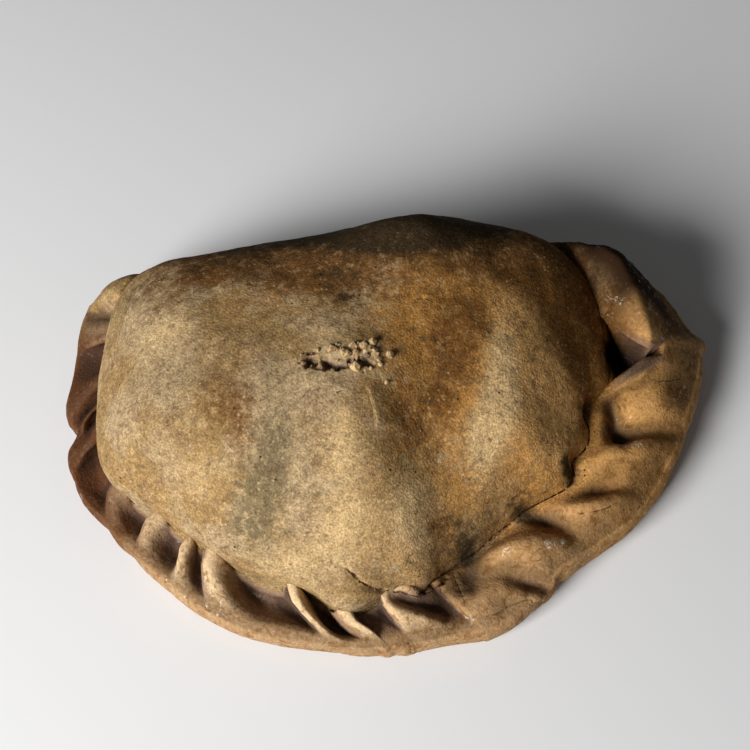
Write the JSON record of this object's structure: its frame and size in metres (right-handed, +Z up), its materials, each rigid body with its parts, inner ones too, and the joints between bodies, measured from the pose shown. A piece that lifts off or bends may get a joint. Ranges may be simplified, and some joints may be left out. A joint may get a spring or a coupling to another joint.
{
  "type": "spinach turnover",
  "caption": "Half-moon turnover of browned dough, domed over its filling and closed round its curved side by a crimp of overlapping pleats.",
  "frame": {"origin": "middle of the bounding box in plan, on the flat base", "axes": "+X along the half-moon's length, to the right as seen from the curved front; +Y from the front crimp towards the folded back edge; +Z up"},
  "size_m": [0.1648, 0.1086, 0.0471],
  "materials": {
    "crust": "baked dough, matt on the dome, slightly glossy and darker in the crimp"
  },
  "bodies": {
    "root": {"turnover": "crust"}
  },
  "joints": []
}
